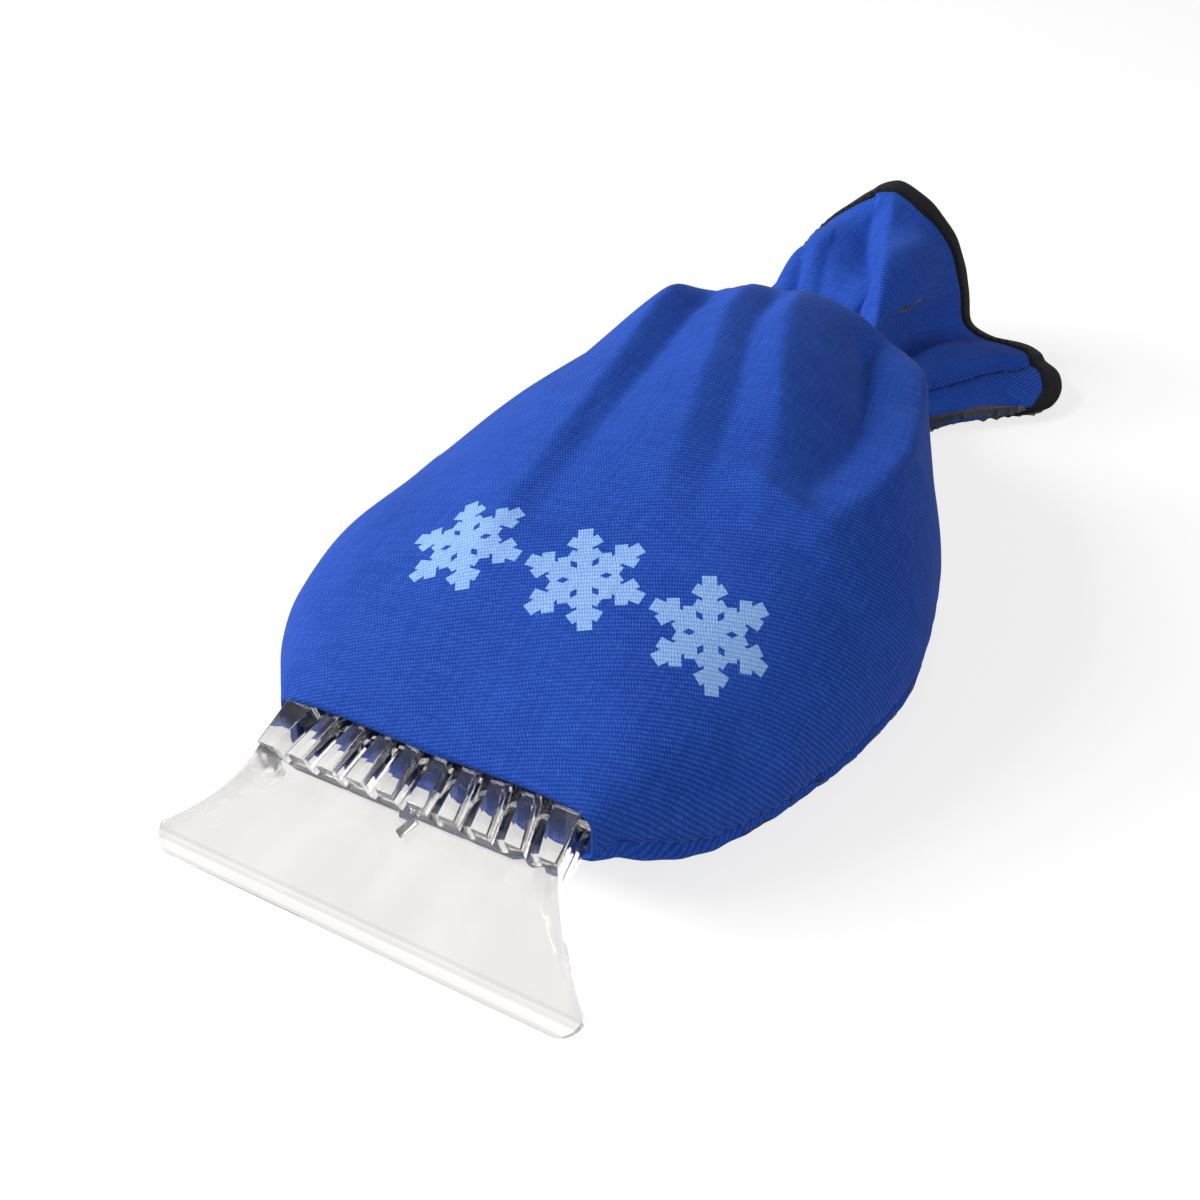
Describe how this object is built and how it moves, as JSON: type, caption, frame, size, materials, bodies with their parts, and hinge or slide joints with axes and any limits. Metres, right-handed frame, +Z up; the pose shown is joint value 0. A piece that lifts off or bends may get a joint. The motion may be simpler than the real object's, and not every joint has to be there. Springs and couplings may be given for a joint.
{
  "type": "windshield ice scraper mitt",
  "caption": "Ice scraper mitt: clear moulded scraper blade with a ribbed shoulder and inner handle, in a padded fabric mitt with elastic wrist and bound cuff.",
  "frame": {"origin": "centre of the whole object's footprint, on the surface it lies on", "axes": "+Y from the scraping edge to the cuff, +Z up from the surface, +X to the right when looking along +Y"},
  "size_m": [0.168, 0.3373, 0.065],
  "materials": {
    "clear_plastic": "clear polished polystyrene moulding",
    "blue_cloth": "plain woven polyester, royal blue, matt",
    "fleece": "dark brushed fleece",
    "binding_tape": "black woven binding tape",
    "thread": "blue sewing thread",
    "elastic": "woven rubber elastic"
  },
  "bodies": {
    "mitt": {"scraper_head": "clear_plastic", "slot_elastic": "elastic", "slot_hem": "blue_cloth", "slot_stitching": "thread", "outer_top_panel": "blue_cloth", "outer_bottom_panel": "blue_cloth", "lining_top_panel": "fleece", "lining_bottom_panel": "fleece", "side_stitching_left": "thread", "side_stitching_right": "thread", "wrist_gather_outer": "blue_cloth", "wrist_gather_lining": "fleece", "wrist_elastic": "elastic", "wrist_stitching": "thread"},
    "cuff": {"cuff_top_panel": "blue_cloth", "cuff_bottom_panel": "blue_cloth", "cuff_lining_top": "fleece", "cuff_lining_bottom": "fleece", "cuff_stitching_left": "thread", "cuff_stitching_right": "thread", "cuff_binding": "binding_tape", "binding_stitching": "thread"}
  },
  "joints": [
    {"name": "cuff_fold", "type": "hinge", "parent": "mitt", "child": "cuff", "pos_m": [0.005, 0.0755, 0.022], "axis": [1, 0, 0], "range_deg": [0, 40], "deforming": ["wrist_gather_outer", "wrist_gather_lining"]}
  ]
}
